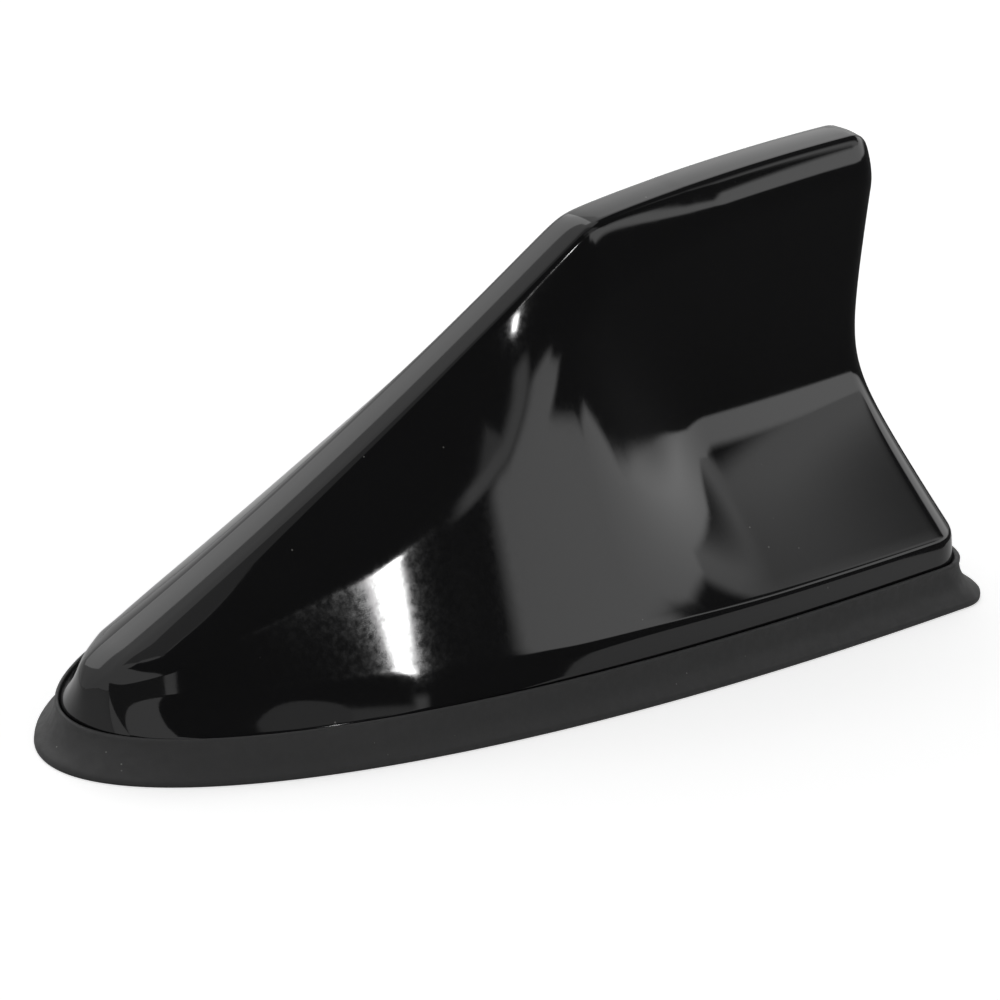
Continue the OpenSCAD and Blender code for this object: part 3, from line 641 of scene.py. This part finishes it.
def board(name, mask, trace, weave):
    """Board laminate with bands of a second colour."""
    s = Shader(name)
    wave = s.tree.nodes.new("ShaderNodeTexWave")
    wave.inputs["Scale"].default_value = weave
    wave.inputs["Distortion"].default_value = 1.5
    s.link(s.place, wave.inputs["Vector"])
    s.colour(s.mix(s.remap(wave.outputs["Fac"], 0.35, 0.6, 0.0, 1.0), mask, trace))
    s.rough(s.remap(s.noise(400.0), 0.3, 0.7, 0.25, 0.4))
    s.bump(wave.outputs["Fac"], 0.2, 0.00003)
    return s.material


def paint(piece, material):
    """Gives a piece one material in place of its own."""
    piece.data.materials.clear()
    piece.data.materials.append(material)


def put(piece, material, slot, *nodes):
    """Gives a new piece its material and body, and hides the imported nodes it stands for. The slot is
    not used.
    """
    paint(piece, material)
    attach(piece, "root")
    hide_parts(*nodes)


def dress_inside():
    """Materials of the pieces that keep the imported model's own shape."""
    black = moulded("spark_textured_plastic", (0.018, 0.018, 0.019), (0.03, 0.03, 0.031), 0.45, 0.62,
                    1800.0, 0.00005)
    resin = moulded("chip_resin", (0.02, 0.02, 0.021), (0.035, 0.035, 0.036), 0.5, 0.7, 2500.0, 0.00003)
    nylon = moulded("natural_nylon", (0.62, 0.6, 0.54), (0.74, 0.72, 0.66), 0.35, 0.5, 900.0, 0.00003)
    ceramic = moulded("fired_ceramic", (0.38, 0.27, 0.15), (0.5, 0.38, 0.24), 0.35, 0.5, 2500.0, 0.00002)
    ferrite = moulded("sintered_ferrite", (0.07, 0.07, 0.075), (0.11, 0.11, 0.115), 0.4, 0.6,
                      2500.0, 0.00003)
    zinc = metal("zinc_plate", (0.5, 0.51, 0.53), (0.66, 0.67, 0.68), 0.22, 0.4, (1, 1, 6))
    tin = metal("tinned_sheet", (0.58, 0.58, 0.57), (0.72, 0.72, 0.7), 0.18, 0.34, (6, 1, 1))
    gilt = metal("gilt_brass", (0.62, 0.42, 0.14), (0.78, 0.56, 0.24), 0.15, 0.3, (6, 1, 1))
    drawn = metal("drawn_can", (0.5, 0.52, 0.55), (0.66, 0.67, 0.69), 0.25, 0.4, (1, 1, 4))
    copper = metal("bare_copper", (0.62, 0.27, 0.14), (0.78, 0.38, 0.22), 0.22, 0.4, (1, 1, 6))
    looks = {
        "base_plate": black, "amplifier_chip": resin, "resistors": resin, "coil_former": nylon,
        "ceramic_capacitors": ceramic, "filter_inductors": ferrite, "case_screws": zinc,
        "board_screws": zinc, "shield_can": tin, "foot_clips": tin, "coax_socket": gilt,
        "electrolytic_capacitors": drawn, "loading_coil": copper, "radiator_trace": copper,
        "amplifier_board": board("solder_mask", (0.01, 0.09, 0.035), (0.02, 0.15, 0.06), 90.0),
        "radiator_board": board("glass_laminate", (0.36, 0.28, 0.13), (0.46, 0.38, 0.2), 400.0),
        "adhesive_pad": foam("closed_cell_foam", (0.012, 0.012, 0.012), (0.045, 0.045, 0.046), 1500.0),
        "foam_block": foam("open_cell_foam", (0.03, 0.03, 0.03), (0.09, 0.09, 0.092), 900.0),
        "cable_grommet": skirt_rubber(),
    }
    for name, material in looks.items():
        paint(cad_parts[name], material)


def aim(az, el):
    """Direction of an azimuth from +Y towards +X and an elevation, both in degrees."""
    a, e = math.radians(az), math.radians(el)
    return Vector((math.sin(a) * math.cos(e), math.cos(a) * math.cos(e), math.sin(e)))


def facing(direction, turn=0.0):
    """Rotation that points +Z along a direction, turned about it by degrees."""
    spin = Matrix.Rotation(math.radians(turn), 3, "Z").to_quaternion()
    return direction.to_track_quat("Z", "Y") @ spin


def area_light(name, az, el, distance, width, height, power, turn=0.0, target=LIGHTS_AIM):
    """Soft light that shines on target from az and el, turned about its own axis."""
    light = bpy.data.lights.new(name, "AREA")
    light.shape = "RECTANGLE"
    light.size = width
    light.size_y = height
    light.energy = power
    lamp = bpy.data.objects.new(name, light)
    direction = aim(az, el)
    lamp.location = Vector(target) + direction * distance
    lamp.rotation_mode = "QUATERNION"
    lamp.rotation_quaternion = facing(direction, turn)
    bpy.context.scene.collection.objects.link(lamp)
    return lamp


def emitter(name, strength):
    """Glowing white material. It isn't sampled as a lamp, which keeps the render quick."""
    m = bpy.data.materials.new(name)
    m.use_nodes = True
    m.node_tree.nodes.clear()
    e = m.node_tree.nodes.new("ShaderNodeEmission")
    e.inputs["Color"].default_value = (1, 1, 1, 1)
    e.inputs["Strength"].default_value = strength
    out = m.node_tree.nodes.new("ShaderNodeOutputMaterial")
    m.node_tree.links.new(e.outputs[0], out.inputs["Surface"])
    m.cycles.emission_sampling = "NONE"
    return m


def card(name, corners, strength):
    """Flat card that only the gloss reflects, pale or dark by its strength."""
    piece = new_mesh(name, corners, [list(range(len(corners)))], False)
    piece.data.materials.append(emitter(name + "_finish", strength))
    piece.visible_camera = False
    piece.visible_diffuse = False
    piece.visible_shadow = False
    piece.visible_transmission = False


def facing_card(name, az, el, distance, width, height, strength):
    """Card that faces the object from az and el."""
    direction = aim(az, el)
    q = facing(direction)
    centre = Vector(CARDS_AIM) + direction * distance
    w, h = width / 2, height / 2
    corners = [centre + q @ Vector(p) for p in ((-w, -h, 0), (w, -h, 0), (w, h, 0), (-w, h, 0))]
    card(name, corners, strength)


def along(stops, v):
    """Value at v between stops of (place, value), with straight lines between them."""
    for (p0, v0), (p1, v1) in zip(stops, stops[1:]):
        if v <= p1:
            return v0 + (v1 - v0) * max(0.0, (v - p0) / (p1 - p0))
    return stops[-1][1]


def window(v, lo, hi, lo_fade, hi_fade):
    """1 between lo and hi and 0 outside, with a fade across each end."""
    return float(soft_step((v - lo) / lo_fade + 0.5) * soft_step((hi - v) / hi_fade + 0.5))


def glow(az, el):
    """Brightness of the glowing wall in a direction."""
    low, high = along(SOFTBOX_LOW, az), along(SOFTBOX_HIGH, az)
    softbox = window(az, *SOFTBOX_SIDES) * window(el, low, high, LOW_FADE, HIGH_FADE)
    softbox *= FOOT_SHARE + (1 - FOOT_SHARE) * float(soft_step((el - FOOT_FROM) / FOOT_RISE))
    patches = [share * window(az, *across) * window(el, *upwards)
               for share, across, upwards in (SPILL, WEDGE, NOSE_PATCH)]
    return FLAG_LEVEL + SOFTBOX_LEVEL * max(softbox, *patches)


def directions(first, last, step):
    """Directions of the wall's grid, the last one included."""
    return np.arange(first, last + 0.01, step)


def light_wall(name):
    """Part of a sphere round the object that glows as a draped softbox."""
    azs, els = directions(*WALL_AZ), directions(*WALL_EL)
    points = [Vector(LIGHTS_AIM) + aim(az, el) * WALL_DISTANCE for az in azs for el in els]
    n = len(els)
    faces = [[i * n + j, i * n + j + 1, (i + 1) * n + j + 1, (i + 1) * n + j]
             for i in range(len(azs) - 1) for j in range(n - 1)]
    wall = new_mesh(name, points, faces, False)
    level = wall.data.attributes.new("glow", "FLOAT", "POINT")
    level.data.foreach_set("value", [glow(az, el) for az in azs for el in els])
    m = emitter(name + "_finish", 1.0)
    read = m.node_tree.nodes.new("ShaderNodeAttribute")
    read.attribute_name = "glow"
    m.node_tree.links.new(read.outputs["Fac"], m.node_tree.nodes["Emission"].inputs["Strength"])
    wall.data.materials.append(m)
    wall.visible_camera = False
    wall.visible_shadow = False


def build_camera():
    """Camera of the photo, whose frame is moved sideways to put the target at its pixel."""
    back = Vector((math.sin(CAMERA_AZ) * math.cos(CAMERA_EL), -math.cos(CAMERA_AZ) * math.cos(CAMERA_EL),
                   math.sin(CAMERA_EL)))
    flat_right = Vector((math.cos(CAMERA_AZ), math.sin(CAMERA_AZ), 0))
    flat_up = back.cross(flat_right)
    right = math.cos(CAMERA_ROLL) * flat_right + math.sin(CAMERA_ROLL) * flat_up
    up = -math.sin(CAMERA_ROLL) * flat_right + math.cos(CAMERA_ROLL) * flat_up
    data = bpy.data.cameras.new("camera")
    data.sensor_width = SENSOR_MM
    data.lens = PIXELS_PER_M * CAMERA_DISTANCE / FRAME_PX * SENSOR_MM
    data.shift_x = (FRAME_PX / 2 - TARGET_PX[0]) / FRAME_PX
    data.shift_y = (TARGET_PX[1] - FRAME_PX / 2) / FRAME_PX
    data.clip_start = 0.01
    camera = bpy.data.objects.new("camera", data)
    turn = Matrix((right, up, back)).transposed().to_4x4()
    camera.matrix_world = Matrix.Translation(CAMERA_TARGET + back * CAMERA_DISTANCE) @ turn
    bpy.context.scene.collection.objects.link(camera)
    bpy.context.scene.camera = camera


def build_floor():
    """Pale floor that shows white to the camera and keeps the shadow."""
    corners = [(x * FLOOR_HALF, y * FLOOR_HALF, FLOOR_Z) for x, y in ((-1, -1), (1, -1), (1, 1), (-1, 1))]
    floor = new_mesh("floor", corners, [[0, 1, 2, 3]], False)
    m = bpy.data.materials.new("pale_floor")
    m.use_nodes = True
    tree = m.node_tree
    tree.nodes.clear()
    out = tree.nodes.new("ShaderNodeOutputMaterial")
    plain = tree.nodes.new("ShaderNodeBsdfDiffuse")
    plain.inputs["Color"].default_value = (0.8, 0.8, 0.8, 1)
    lift = tree.nodes.new("ShaderNodeEmission")
    lift.inputs["Strength"].default_value = FLOOR_LIFT
    both = tree.nodes.new("ShaderNodeAddShader")
    tree.links.new(plain.outputs[0], both.inputs[0])
    tree.links.new(lift.outputs[0], both.inputs[1])
    path = tree.nodes.new("ShaderNodeLightPath")
    pick = tree.nodes.new("ShaderNodeMixShader")
    tree.links.new(path.outputs["Is Camera Ray"], pick.inputs["Fac"])
    tree.links.new(plain.outputs[0], pick.inputs[1])
    tree.links.new(both.outputs[0], pick.inputs[2])
    tree.links.new(pick.outputs[0], out.inputs["Surface"])
    floor.data.materials.append(m)


def build_world():
    """Plain light, seen as white by the camera and in reflections."""
    world = bpy.data.worlds.new("studio")
    world.use_nodes = True
    bpy.context.scene.world = world
    tree = world.node_tree
    tree.nodes.clear()
    out = tree.nodes.new("ShaderNodeOutputWorld")
    soft = tree.nodes.new("ShaderNodeBackground")
    soft.inputs["Strength"].default_value = WORLD_LIGHT
    white = tree.nodes.new("ShaderNodeBackground")
    white.inputs["Strength"].default_value = 1.0
    path = tree.nodes.new("ShaderNodeLightPath")
    seen = path.outputs["Is Camera Ray"]
    for ray in ("Is Glossy Ray", "Is Transmission Ray"):
        either = tree.nodes.new("ShaderNodeMath")
        either.operation = "MAXIMUM"
        tree.links.new(seen, either.inputs[0])
        tree.links.new(path.outputs[ray], either.inputs[1])
        seen = either.outputs[0]
    pick = tree.nodes.new("ShaderNodeMixShader")
    tree.links.new(seen, pick.inputs["Fac"])
    tree.links.new(soft.outputs[0], pick.inputs[1])
    tree.links.new(white.outputs[0], pick.inputs[2])
    tree.links.new(pick.outputs[0], out.inputs["Surface"])


def build_lights():
    """Lamps, glowing wall and cards, by azimuth, elevation, distance, width, height, strength."""
    area_light("back_softbox", 10, 46, 2.0, 1.7, 0.78, 5.0)
    top_fill = area_light("top_fill", 10, 72, 1.1, 0.9, 0.9, 3.7)
    top_fill.visible_glossy = False
    area_light("key_lamp", 160.6, 28.2, 2.3, 0.06, 0.038, 0.40, 26, STREAK_AT)
    light_wall("side_softbox")
    facing_card("nose_card", 152, 48, 2.3, 0.48, 0.42, 0.45)
    facing_card("back_card", 51, 26, 2.5, 1.6, 1.2, 1.12)
    facing_card("flag_right", 118, 22, 2.9, 5.0, 3.0, FLAG_LEVEL)
    facing_card("flag_front", 168, 38, 2.7, 1.9, 3.0, FLAG_LEVEL)
    facing_card("flag_top", 150, 79, 2.4, 1.1, 0.9, 0.35)
    facing_card("flag_low", 206, 3, 2.0, 1.5, 0.65, 0.12)
    card("flag_table", [(x, y, TABLE_FLAG_Z) for x, y in TABLE_FLAG], FLAG_LEVEL)


build_camera()
put(build_shell(), gloss_black(), "gloss_black_shell", "fin_shell")
put(build_gasket(), skirt_rubber(), "black_rubber", "gasket")
dress_inside()
build_floor()
build_world()
build_lights()

view = bpy.context.scene.view_settings
view.view_transform = "Standard"
